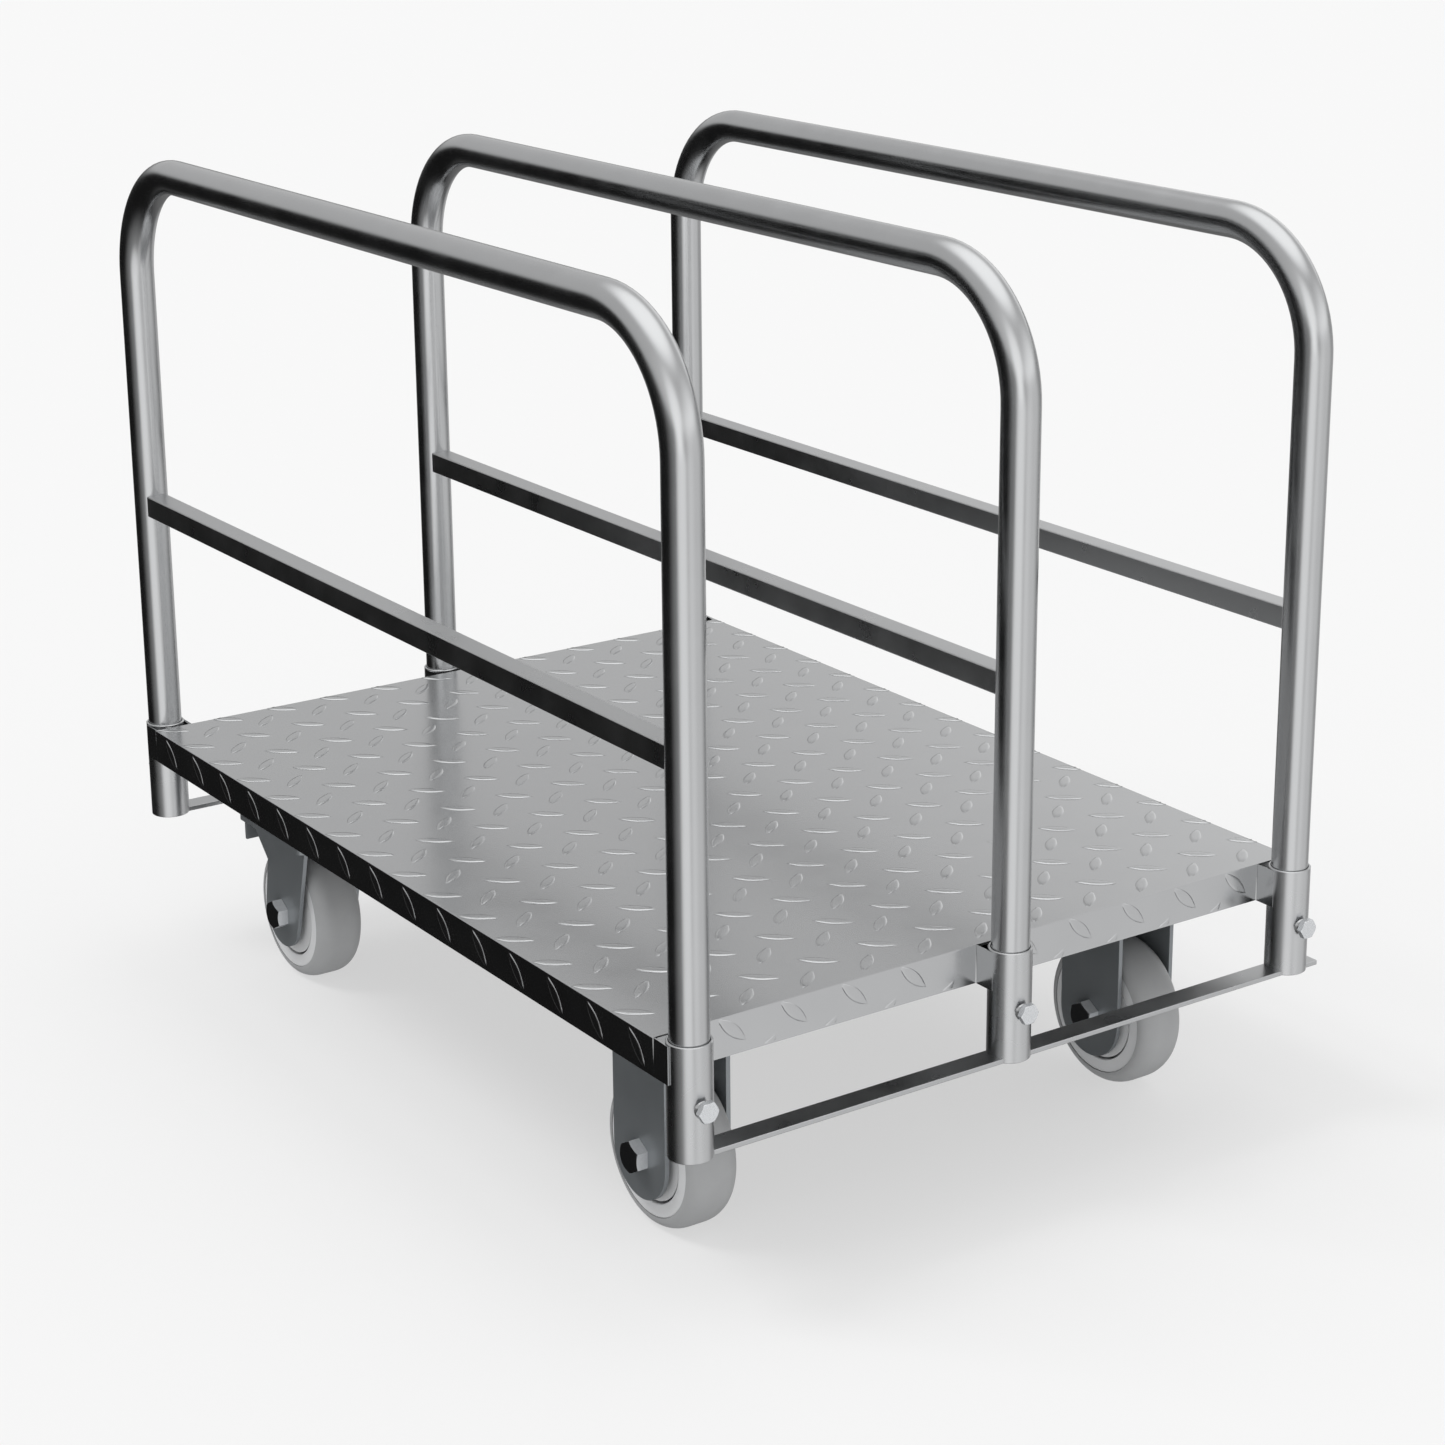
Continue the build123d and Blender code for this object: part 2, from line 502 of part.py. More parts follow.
# ---------------------------------------------------------------- caster fasteners
PLATE_CENTRES = [(x, y) for x in (FIXED_X, KINGPIN_X) for y in SIDES.values()]
BOLT_PLACES = [(x + sx * HOLES_X / 2, y + sy * HOLES_Y / 2) for x, y in PLATE_CENTRES
               for sx in (-1, 1) for sy in (-1, 1)]
with BuildPart() as plate_bolts:
    with BuildSketch(Plane.XY.offset(PLATE_UNDERSIDE - BUTTON_HEAD)):
        with Locations(*BOLT_PLACES):
            Circle(BUTTON_RADIUS)
    extrude(amount=BUTTON_HEAD)
    chamfer(plate_bolts.edges().filter_by(GeomType.CIRCLE).group_by(Axis.Z)[0], BUTTON_CHAMFER)
    with BuildSketch(Plane.XY.offset(PLATE_UNDERSIDE - OVERLAP)):
        with Locations(*BOLT_PLACES):
            Circle(PLATE_BOLT / 2)
    extrude(amount=OVERLAP + PLATE_THICKNESS + BEAM_SHEET + PLATE_NUT + BOLT_SPARE)
save(plate_bolts, "caster_plate_bolts")

with BuildPart() as plate_nuts:
    with BuildSketch(Plane.XY.offset(PLATE_TOP + BEAM_SHEET)):
        with Locations(*BOLT_PLACES):
            RegularPolygon(PLATE_NUT_FLATS / 2, 6, major_radius=False)
            Circle(PLATE_BOLT / 2 + HOLE_CLEARANCE, mode=Mode.SUBTRACT)
    extrude(amount=PLATE_NUT)
save(plate_nuts, "caster_plate_nuts")
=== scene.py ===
# %% [markdown]
# # A platform truck for sheet goods
# The truck is a folded tread-plate deck on four casters, with three lift-out hoops of bright
# steel tube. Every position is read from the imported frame, so each piece made here lies where
# its CAD node lies. Lengths are written in millimetres and turned to metres by MM.

# %% Load the frame
from math import atan2, cos, pi, radians, sin, sqrt, tan

import bmesh
import bpy
from mathutils import Matrix, Vector


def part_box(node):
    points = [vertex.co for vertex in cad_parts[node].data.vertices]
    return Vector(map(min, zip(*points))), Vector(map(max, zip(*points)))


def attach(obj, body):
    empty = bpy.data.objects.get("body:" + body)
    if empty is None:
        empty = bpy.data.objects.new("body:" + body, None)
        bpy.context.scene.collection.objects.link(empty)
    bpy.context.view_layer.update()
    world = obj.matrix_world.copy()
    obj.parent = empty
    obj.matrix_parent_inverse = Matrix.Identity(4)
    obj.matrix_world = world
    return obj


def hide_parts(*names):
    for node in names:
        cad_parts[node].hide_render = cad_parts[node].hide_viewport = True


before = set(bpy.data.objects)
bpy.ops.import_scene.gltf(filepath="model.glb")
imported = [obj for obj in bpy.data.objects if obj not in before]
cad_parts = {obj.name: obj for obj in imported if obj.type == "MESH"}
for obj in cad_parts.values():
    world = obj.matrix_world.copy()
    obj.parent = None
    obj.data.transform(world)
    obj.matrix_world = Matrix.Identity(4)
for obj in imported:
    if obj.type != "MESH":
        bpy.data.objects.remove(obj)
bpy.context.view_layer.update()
MM = 0.001


# %% [markdown]
# Positions come from the boxes of the CAD nodes. The names of the hoops, ends and sides are the
# same as in the node names, so one loop makes every repeated piece.

# %% Sizes read from the frame
def centre(node):
    """Middle of a CAD node's box."""
    low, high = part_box(node)
    return (low + high) / 2


HOOPS = ("right", "middle", "left")
ENDS = {"front": 1, "rear": -1}
SIDES = ("right", "left")
TUBE_OD = 38 * MM
TUBE_WALL = 2 * MM
SOCKET_OD = 43.5 * MM
SOCKET_WALL = 2.25 * MM
SHEET = 1.5 * MM
LUG_HEIGHT = 1.0 * MM

tube_low, tube_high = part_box("middle_hoop_tube")
LEG_X = tube_high.x - TUBE_OD / 2
LEG_FOOT = tube_low.z
RAIL_Z = tube_high.z - TUBE_OD / 2
BEND = 122 * MM
HOOP_Y = {name: centre(f"{name}_hoop_tube").y for name in HOOPS}
socket_low, socket_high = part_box("front_middle_socket")
deck_low, deck_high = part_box("deck_plate")
print("legs at x", round(LEG_X, 4), "top rails at z", round(RAIL_Z, 4))


# %% [markdown]
# ## Colours and shader nodes
# Colours are written as the hex values that a paint chart gives, in sRGB, and a shader wants
# them linear, so one function converts them. A second small function adds a node, fills in its
# inputs and links whatever input is given as another node's socket.

# %% Colour and node helpers
def linear(hex_colour):
    """Linear RGBA of an sRGB hex colour."""
    channels = [int(hex_colour[i:i + 2], 16) / 255 for i in (0, 2, 4)]
    return [c / 12.92 if c <= 0.04045 else ((c + 0.055) / 1.055) ** 2.4 for c in channels] + [1.0]


def add_node(tree, kind, inputs=None, **settings):
    """Add a shader node, set its properties, and set or link its inputs."""
    node = tree.nodes.new(kind)
    for name, value in settings.items():
        setattr(node, name, value)
    for name, value in (inputs or {}).items():
        socket = node.inputs[name]
        if isinstance(value, bpy.types.NodeSocket):
            tree.links.new(value, socket)
        else:
            socket.default_value = value
    return node


def new_material(name):
    """Empty node material, with its tree and its Principled shader."""
    material = bpy.data.materials.new(name)
    material.use_nodes = True
    tree = material.node_tree
    tree.nodes.clear()
    shader = add_node(tree, "ShaderNodeBsdfPrincipled")
    output = add_node(tree, "ShaderNodeOutputMaterial")
    tree.links.new(shader.outputs["BSDF"], output.inputs["Surface"])
    return material, tree, shader


def grain(tree, size_mm, detail=2.0):
    """Noise whose grains are about size_mm across."""
    place = add_node(tree, "ShaderNodeTexCoord").outputs["Object"]
    return add_node(tree, "ShaderNodeTexNoise", {
        "Vector": place, "Scale": 1 / (size_mm * MM), "Detail": detail, "Roughness": 0.55,
    }).outputs["Fac"]


def spread(tree, value, low, high):
    """Noise value, mostly between 0.3 and 0.7, stretched to run from low to high."""
    return add_node(tree, "ShaderNodeMapRange", {
        "Value": value, "From Min": 0.3, "From Max": 0.7, "To Min": low, "To Max": high,
    }).outputs["Result"]


def tint(tree, value, dark, light):
    """Colour between two hex colours, by a noise value."""
    mixed = add_node(tree, "ShaderNodeMix", {
        0: value, 6: linear(dark), 7: linear(light),
    }, data_type="RGBA")
    return mixed.outputs[2]


def bump(tree, value, height_mm):
    """Normal for a surface that a noise value raises by up to height_mm."""
    return add_node(tree, "ShaderNodeBump", {
        "Height": value, "Strength": 1.0, "Distance": height_mm * MM,
    }).outputs["Normal"]


# %% [markdown]
# ## Drawn steel tube
# The hoops are cold-drawn steel tube, polished to a satin and lacquered. Drawing leaves a
# smooth, bright skin with hardly any grain, so the look is all in the reflection: a metal with
# a low roughness that drifts a little from place to place, as hand polishing leaves it.

# %% Drawn tube
def drawn_steel(name, dark, light, low, high):
    """Satin steel whose roughness drifts from low to high over a few centimetres."""
    material, tree, shader = new_material(name)
    drift = grain(tree, 45)
    skin = grain(tree, 1.2, detail=3.0)
    tree.links.new(tint(tree, drift, dark, light), shader.inputs["Base Color"])
    tree.links.new(spread(tree, drift, low, high), shader.inputs["Roughness"])
    tree.links.new(bump(tree, skin, 0.004), shader.inputs["Normal"])
    shader.inputs["Metallic"].default_value = 1.0
    return material


satin_tube = drawn_steel("drawn_steel_tube_satin", "b2b3b4", "babbbc", 0.20, 0.27)
satin_bar = drawn_steel("drawn_steel_bar_satin", "aeafb0", "b6b7b8", 0.26, 0.34)
print("tube and bar steel made")

# %% [markdown]
# ## Rolled tread plate
# Tread plate is hot-rolled between a plain roll and an engraved one, then pickled and dressed.
# Its tone and its roughness drift in clouds several centimetres wide, and the sheet is never
# quite flat, so a very low bump bends the reflections. The raised lugs are real geometry
# further on, because a bump alone would vanish at the folded edges.

# %% Tread plate
def rolled_plate():
    """Rolled steel with a cloudy tone and faint waves."""
    material, tree, shader = new_material("rolled_steel_tread_plate")
    cloud = grain(tree, 70, detail=2.0)
    tree.links.new(tint(tree, cloud, "b2b3b4", "b9babb"), shader.inputs["Base Color"])
    tree.links.new(spread(tree, cloud, 0.19, 0.23), shader.inputs["Roughness"])
    tree.links.new(bump(tree, cloud, 0.03), shader.inputs["Normal"])
    shader.inputs["Metallic"].default_value = 1.0
    return material


tread_plate = rolled_plate()
print("tread plate made")

# %% [markdown]
# ## Cut and welded steel
# Sockets, cross rails and the frame under the deck are cut from tube, bar and strip, welded,
# and given the same thin finish as the hoops, with a slightly rougher skin.

# %% Welded steel and strip
welded_steel = drawn_steel("cut_steel_tube_welded", "b4b5b6", "bcbdbe", 0.24, 0.32)
strip_steel = drawn_steel("mill_finish_steel_strip", "a5a6a7", "b6b7b8", 0.34, 0.44)
print("welded steel made")


# %% [markdown]
# ## Zinc-plated fasteners
# Bolts and nuts are cold-forged and barrel plated with bright zinc. Tumbling in the barrel
# leaves small dents, which glint, so the bump is coarser and deeper than on the tube.

# %% Zinc plate
def zinc_plate(name, metallic, low, high, dent_mm):
    """Zinc plate with barrel dents. Metallic below 1 gives the chalky skin of a drawn flat."""
    material, tree, shader = new_material(name)
    dents = grain(tree, 2.2, detail=2.0)
    tree.links.new(tint(tree, dents, "c4c6c9", "d8dadc"), shader.inputs["Base Color"])
    tree.links.new(spread(tree, dents, low, high), shader.inputs["Roughness"])
    tree.links.new(bump(tree, dents, dent_mm), shader.inputs["Normal"])
    shader.inputs["Metallic"].default_value = metallic
    return material


zinc = zinc_plate("bright_zinc_barrel_plated", 0.92, 0.22, 0.36, 0.06)
zinc_flats = zinc_plate("chalky_zinc_on_drawn_flats", 0.50, 0.32, 0.46, 0.10)
zinc_faced = zinc_plate("polished_zinc_on_turned_face", 1.0, 0.14, 0.18, 0.01)
print("zinc made")


# %% [markdown]
# ## Painted fork steel
# The caster forks are pressed from strip and sprayed with slate grey metallic paint. Aluminium
# flake in the paint lets an edge that faces a light wall shine, and the rest stays dull. So the
# shader is partly metallic. The spray leaves a faint orange peel about 2 mm across.

# %% Metallic paint
def flake_paint():
    """Slate grey paint with aluminium flake and a faint orange peel."""
    material, tree, shader = new_material("slate_grey_metallic_paint")
    peel = grain(tree, 2.0, detail=1.5)
    cloud = grain(tree, 30)
    tree.links.new(tint(tree, cloud, "828689", "8a8e91"), shader.inputs["Base Color"])
    tree.links.new(spread(tree, cloud, 0.34, 0.42), shader.inputs["Roughness"])
    tree.links.new(bump(tree, peel, 0.01), shader.inputs["Normal"])
    shader.inputs["Metallic"].default_value = 0.6
    return material


fork_paint = flake_paint()
print("fork paint made")


# %% [markdown]
# ## Moulded rubber and plastic
# The tread is grey thermoplastic rubber, moulded over a polypropylene core. The rubber is a
# soft satin that scatters light broadly, and the core is a slightly smoother, paler plastic.
# Both have the fine spark-eroded texture of the mould.

# %% Rubber and plastic
def moulded(name, dark, light, roughness, texture_mm, depth_mm):
    """Moulded polymer with a fine mould texture and a tone that drifts slightly."""
    material, tree, shader = new_material(name)
    cloud = grain(tree, 25)
    texture = grain(tree, texture_mm, detail=2.0)
    tree.links.new(tint(tree, cloud, dark, light), shader.inputs["Base Color"])
    drift = spread(tree, texture, roughness - 0.05, roughness + 0.05)
    tree.links.new(drift, shader.inputs["Roughness"])
    tree.links.new(bump(tree, texture, depth_mm), shader.inputs["Normal"])
    return material


tread_rubber = moulded("grey_thermoplastic_rubber", "999a9b", "a1a2a3", 0.50, 1.5, 0.02)
core_plastic = moulded("pale_grey_polypropylene", "c9cacb", "d0d1d2", 0.42, 1.0, 0.01)
guard_plastic = moulded("grey_polypropylene_guard", "c0c1c2", "c8c9ca", 0.45, 1.0, 0.01)
print("rubber and plastic made")


# %% [markdown]
# ## Making a piece
# Each piece starts as a bmesh. Real edges are never sharp, and it is the small round on an
# edge that catches the light, so soften() bevels every edge that turns sharply. finish_piece()
# then makes the object, shades it smooth between those edges, and ties it to its CAD body. Its
# Weighted Normal modifier keeps a flat face flat in the light where a round fold meets it.

# %% Helpers for meshes
SHARP = radians(32)


def soften(bm, width_mm, segments=2, angle=SHARP):
    """Round every edge of a bmesh that turns by more than angle."""
    edges = [e for e in bm.edges if e.is_manifold and e.calc_face_angle() > angle]
    bmesh.ops.bevel(bm, geom=edges, offset=width_mm * MM, offset_type="OFFSET", affect="EDGES",
                    segments=segments, profile=0.5, material=-1, clamp_overlap=True)


def finish_piece(bm, name, material, body, replaced=(), sharp=SHARP):
    """Turn a bmesh into a piece that rides on a body and stands for its CAD nodes."""
    bmesh.ops.recalc_face_normals(bm, faces=bm.faces)
    mesh = bpy.data.meshes.new(name)
    bm.to_mesh(mesh)
    bm.free()
    mesh.materials.append(material)
    mesh.shade_smooth()
    mesh.set_sharp_from_angle(angle=sharp)
    piece = bpy.data.objects.new(name, mesh)
    bpy.context.scene.collection.objects.link(piece)
    flat_faces = piece.modifiers.new("flat faces stay flat", "WEIGHTED_NORMAL")
    flat_faces.keep_sharp = True
    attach(piece, body)
    if replaced:
        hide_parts(*replaced)
    return piece


def lathe(bm, profile, origin, axis, steps=96):
    """Spin a closed outline of (radius, distance along the axis) points, in mm, about an axis."""
    side = Vector((1, 0, 0)) if abs(axis.x) < 0.5 else Vector((0, 0, 1))
    ring = [bm.verts.new(origin + side * (r * MM) + axis * (d * MM)) for r, d in profile]
    edges = [bm.edges.new((a, b)) for a, b in zip(ring, ring[1:] + ring[:1])]
    bmesh.ops.spin(bm, geom=ring + edges, cent=origin, axis=axis, angle=2 * pi, steps=steps,
                   use_merge=True)


def block(bm, low, high):
    """Box between two corners, in metres."""
    low, high = Vector(low), Vector(high)
    place = Matrix.Translation((low + high) / 2) @ Matrix.Diagonal((*(high - low), 1))
    bmesh.ops.create_cube(bm, size=1, matrix=place)


X_AXIS, Y_AXIS, Z_AXIS = Vector((1, 0, 0)), Vector((0, 1, 0)), Vector((0, 0, 1))


# %% [markdown]
# ## Hoops
# A hoop is one tube, bent twice on a mandrel. Its mesh follows that: a circle is pushed up a
# leg, swung round each bend by spin and pushed along the rail. The bore is made the same way
# and bridged to the outside at the two feet, so the tube shows its wall when it is lifted out.

# %% Hoop tubes
AROUND = 64
BEND_STEPS = 20


def push(bm, loop, step):
    """Extrude a loop of edges by a vector and return the new loop."""
    grown = bmesh.ops.extrude_edge_only(bm, edges=loop)["geom"]
    bmesh.ops.translate(bm, vec=step, verts=[g for g in grown if isinstance(g, bmesh.types.BMVert)])
    return [g for g in grown if isinstance(g, bmesh.types.BMEdge)]


def swing(bm, loop, hub, angle):
    """Spin a loop of edges about a bend's centre and return the last loop."""
    corners = list({v for e in loop for v in e.verts})
    last = bmesh.ops.spin(bm, geom=corners + loop, cent=hub, axis=Y_AXIS, angle=angle,
                          steps=BEND_STEPS)
    return [g for g in last["geom_last"] if isinstance(g, bmesh.types.BMEdge)]


def bent_skin(bm, y, radius):
    """One skin of a hoop, from foot to foot. Returns its two open end loops."""
    start = Matrix.Translation((-LEG_X, y, LEG_FOOT))
    circle = bmesh.ops.create_circle(bm, segments=AROUND, radius=radius, matrix=start)["verts"]
    first = list({e for v in circle for e in v.link_edges})
    leg = Vector((0, 0, RAIL_Z - BEND - LEG_FOOT))
    loop = push(bm, first, leg)
    loop = swing(bm, loop, Vector((-LEG_X + BEND, y, RAIL_Z - BEND)), radians(90))
    loop = push(bm, loop, Vector((2 * (LEG_X - BEND), 0, 0)))
    loop = swing(bm, loop, Vector((LEG_X - BEND, y, RAIL_Z - BEND)), radians(90))
    return first, push(bm, loop, -leg)


for name in HOOPS:
    shape = bmesh.new()
    outside = bent_skin(shape, HOOP_Y[name], TUBE_OD / 2)
    inside = bent_skin(shape, HOOP_Y[name], TUBE_OD / 2 - TUBE_WALL)
    for outer_loop, inner_loop in zip(outside, inside):
        bmesh.ops.bridge_loops(shape, edges=outer_loop + inner_loop)
    finish_piece(shape, f"{name}_hoop", satin_tube, f"{name}_hoop",
                 [f"{name}_hoop_tube"])
print("hoops made,", AROUND, "faces around")

# %% [markdown]
# A square bar crosses each hoop at half height. It is cut from small box section, whose corners
# are rounded by the mill, and its ends run into the legs, so no cut end shows.

# %% Mid bars
BAR_CORNER = 1.6


for name in HOOPS:
    low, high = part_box(f"{name}_mid_bar")
    half = (high.z - low.z) / 2
    reach = LEG_X - sqrt((TUBE_OD / 2) ** 2 - half ** 2)
    shape = bmesh.new()
    block(shape, (-reach, low.y, low.z), (reach, high.y, high.z))
    soften(shape, BAR_CORNER, segments=4)
    finish_piece(shape, f"{name}_cross_bar", satin_bar, f"{name}_hoop",
                 [f"{name}_mid_bar"])
print("mid bars made")

# %% [markdown]
# ## Sockets and clamp bolts
# A socket is a short tube that a hoop's leg drops into. A welded boss on its outer side holds
# the clamp bolt. Both are spun from their outlines, the socket with a chamfer at its mouth and
# the boss with a flared foot for its weld. The wall behind the boss is left whole.

# %% Sockets
SOCKET_CHAMFER = 0.8
SOCKET_BREAK = 0.3      # how far the bore's sharp edges are broken
BOSS_RADIUS = 7.5
BOSS_REACH = 3.85
BOSS_BORE = 5.1         # radius of its hole
BOSS_ROOT = 1.5         # how far the boss starts inside the socket's skin
BOLT_AXIS_Z = centre("front_middle_clamp_bolt").z
socket_length = (socket_high.z - socket_low.z) / MM
outer = SOCKET_OD / 2 / MM
inner = (SOCKET_OD / 2 - SOCKET_WALL) / MM
SOCKET_OUTLINE = [
    (inner, SOCKET_BREAK), (inner + SOCKET_BREAK, 0), (outer - 0.4, 0), (outer, 0.4),
    (outer, socket_length - SOCKET_CHAMFER), (outer - SOCKET_CHAMFER, socket_length),
    (inner + SOCKET_BREAK, socket_length), (inner, socket_length - SOCKET_BREAK),
]
BOSS_OUTLINE = [
    (BOSS_BORE, outer - BOSS_ROOT), (BOSS_RADIUS + 1.4, outer - BOSS_ROOT),
    (BOSS_RADIUS + 0.5, outer + 0.4), (BOSS_RADIUS, outer + 1.2),
    (BOSS_RADIUS, outer + BOSS_REACH - 0.5), (BOSS_RADIUS - 0.5, outer + BOSS_REACH),
    (BOSS_BORE, outer + BOSS_REACH),
]

for end, sign in ENDS.items():
    for name in HOOPS:
        shape = bmesh.new()
        foot = Vector((sign * LEG_X, HOOP_Y[name], socket_low.z))
        lathe(shape, SOCKET_OUTLINE, foot, Z_AXIS, steps=72)
        boss = Vector((foot.x, foot.y, BOLT_AXIS_Z))
        lathe(shape, BOSS_OUTLINE, boss, X_AXIS * sign, steps=40)
        finish_piece(shape, f"{end}_{name}_post_socket", welded_steel, "chassis",
                     [f"{end}_{name}_socket"])
print("sockets made")


# %% [markdown]
# A forged hexagon head isn't a plain prism: a cone trims its corners, which leaves a round face
# and six curved cuts. Here a fine circle is extruded ring by ring, and each point of a ring goes
# to where the hexagon and the cone meet in its own direction.

# %% Hexagon heads
HEX_STEPS = 72
CONE = radians(30)
ROUND_FACE = 0.96       # the round face's share of the width across flats
LEAST_CUT = 0.05
BORE_CHAMFER = 0.4


def hex_radius(angle, flats):
    """Distance from the middle of a hexagon to its side, in the given direction."""
    within = (angle + pi / 6) % (pi / 3) - pi / 6
    return flats / 2 / cos(within)


def hex_section(angle, flats, height, bore, both_ends):
    """Points (radius, height) of the solid's outline in the given direction, foot to top."""
    face = flats / 2 * ROUND_FACE
    radius = hex_radius(angle, flats)
    cut = max((radius - face) * tan(CONE), LEAST_CUT)
    points = [(face, 0), (radius, cut)] if both_ends else [(radius, 0)]
    points += [(radius, height - cut), (face, height)]
    if bore:
        points += [(bore + BORE_CHAMFER, height), (bore, height - BORE_CHAMFER), (bore, 0)]
    return points


def hex_solid(bm, flats, height, base, axis, turn=0.0, bore=0.0, both_ends=False):
    """Hexagon with coned corners, in mm, standing on base and pointing along axis."""
    circle = bmesh.ops.create_circle(bm, segments=HEX_STEPS, radius=1)["verts"]
    first = loop = list({e for v in circle for e in v.link_edges})
    made = []
    for level in range(len(hex_section(0, flats, height, bore, both_ends))):
        if level:
            loop = push(bm, loop, Vector())
        ring = list({v for e in loop for v in e.verts})
        for v in ring:
            angle = atan2(v.co.y, v.co.x)
            radius, rise = hex_section(angle - turn, flats, height, bore, both_ends)[level]
            v.co = (radius * cos(angle), radius * sin(angle), rise)
        made += ring
    if bore:
        bmesh.ops.bridge_loops(bm, edges=loop + first)
    else:
        for rim in (first, loop):
            bmesh.ops.edgeloop_fill(bm, edges=rim)
    side = Z_AXIS if abs(axis.z) < 0.5 else X_AXIS
    facing = Matrix((side, axis.cross(side), axis)).transposed().to_4x4()
    place = Matrix.Translation(base) @ facing @ Matrix.Scale(MM, 4)
    bmesh.ops.transform(bm, matrix=place, verts=made)


CLAMP_FLATS, CLAMP_HEAD, CLAMP_RADIUS = 19, 6.4, 5
CLAMP_POINT = 0.8       # chamfer of the screw's tip
IN_HEAD = 0.5           # how far a shank runs on into its head
AXIS_HOLE = 0.01        # a spun shank stops this short of its axis
for end, sign in ENDS.items():
    for name in HOOPS:
        node = f"{end}_{name}_clamp_bolt"
        low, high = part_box(node)
        axis = X_AXIS * sign
        tip = Vector((low.x if sign > 0 else high.x, centre(node).y, centre(node).z))
        length = (high.x - low.x) / MM
        shape = bmesh.new()
        hex_solid(shape, CLAMP_FLATS, CLAMP_HEAD, tip + axis * (length - CLAMP_HEAD) * MM, axis)
        root = length - CLAMP_HEAD + IN_HEAD
        shank = [(AXIS_HOLE, 0), (CLAMP_RADIUS - CLAMP_POINT, 0), (CLAMP_RADIUS, CLAMP_POINT),
                 (CLAMP_RADIUS, root), (AXIS_HOLE, root)]
        lathe(shape, shank, tip, axis, steps=32)
        finish_piece(shape, f"{end}_{name}_clamp_screw", zinc, f"{end}_{name}_clamp",
                     [node])
print("clamp bolts made")

# %% [markdown]
# ## Cross rails
# A flat bar ties the feet of three sockets at each end. It is sheared from hot-rolled flat, so
# its edges keep a small radius.

# %% Cross rails
RAIL_CORNER = 0.7

for end in ENDS:
    low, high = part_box(f"{end}_cross_rail")
    shape = bmesh.new()
    block(shape, low, high)
    soften(shape, RAIL_CORNER, segments=3)
    finish_piece(shape, f"{end}_tie_bar", satin_bar, "chassis",
                 [f"{end}_cross_rail"])
print("cross rails made")

# %% [markdown]
# ## Deck
# The deck is one sheet, folded down on all four sides. A box without its bottom gives the fold
# lines. The end faces are cut away behind each socket, and the cut edges are pushed outwards
# to make the short returns that are welded to the sockets. Bevels round the folds, and the
# Solidify modifier gives the sheet its thickness, inwards.

# %% Deck sheet
FOLD_RADIUS = 1.6
FOLD_STEPS = 5
SIDE_DEPTH, END_DEPTH = 38 * MM, 40 * MM
SOCKET_SIDE = SOCKET_OD / 2 + 0.25 * MM
flat_z = deck_high.z - LUG_HEIGHT
flat_y = deck_high.y - LUG_HEIGHT
flat_x = LEG_X - SOCKET_OD / 2 - 3 * MM
RETURN_X = deck_high.x


def near(value, target):
    """Whether two places, in metres, are the same."""
    return abs(value - target) < 0.02 * MM


def deck_sheet():
    """Outer skin of the folded deck, with round folds, as a bmesh."""
    bm = bmesh.new()
    block(bm, (-flat_x, -flat_y, flat_z - SIDE_DEPTH), (flat_x, flat_y, flat_z))
    bottom = [f for f in bm.faces if f.normal.z < -0.5]
    bmesh.ops.delete(bm, geom=bottom, context="FACES")
    for y in HOOP_Y.values():
        for edge in (y - SOCKET_SIDE, y + SOCKET_SIDE):
            if abs(edge) < flat_y:
                geom = bm.verts[:] + bm.edges[:] + bm.faces[:]
                bmesh.ops.bisect_plane(bm, geom=geom, plane_co=(0, edge, 0), plane_no=(0, 1, 0))
    behind = []
    for f in bm.faces:
        middle = f.calc_center_median().y
        to_socket = min(abs(middle - y) for y in HOOP_Y.values())
        if abs(f.normal.x) > 0.5 and to_socket < SOCKET_SIDE + 2 * MM:
            behind.append(f)
    bmesh.ops.delete(bm, geom=behind, context="FACES")
    for v in bm.verts:
        below = v.co.z < flat_z - 1 * MM
        if near(abs(v.co.x), flat_x) and below and abs(v.co.y) < flat_y - 1 * MM:
            v.co.z = flat_z - END_DEPTH
    upright = [e for e in bm.edges if e.is_boundary and near(abs(e.verts[0].co.x), flat_x)
               and abs((e.verts[0].co - e.verts[1].co).z) > SIDE_DEPTH / 2]
    grown = bmesh.ops.extrude_edge_only(bm, edges=upright)["geom"]
    for v in [g for g in grown if isinstance(g, bmesh.types.BMVert)]:
        v.co.x = RETURN_X if v.co.x > 0 else -RETURN_X
    folds = [e for e in bm.edges if e.is_manifold and e.calc_face_angle() > SHARP]
    bmesh.ops.bevel(bm, geom=folds, offset=FOLD_RADIUS * MM, offset_type="OFFSET", affect="EDGES",
                    segments=FOLD_STEPS, profile=0.5, material=-1, clamp_overlap=True)
    return bm


def thickened(bm, thickness):
    """Mesh of a bmesh's skin after Solidify has given it a thickness inwards."""
    bmesh.ops.recalc_face_normals(bm, faces=bm.faces)
    top = max(bm.faces, key=lambda f: f.calc_area())
    if top.normal.z < 0:
        bmesh.ops.reverse_faces(bm, faces=bm.faces)
    mesh = bpy.data.meshes.new("deck_skin")
    bm.to_mesh(mesh)
    bm.free()
    holder = bpy.data.objects.new("deck_skin", mesh)
    bpy.context.scene.collection.objects.link(holder)
    solid = holder.modifiers.new("sheet", "SOLIDIFY")
    solid.thickness = thickness
    solid.offset = -1
    solid.use_even_offset = True
    solved = holder.evaluated_get(bpy.context.evaluated_depsgraph_get())
    done = bpy.data.meshes.new_from_object(solved)
    bpy.data.objects.remove(holder)
    return done


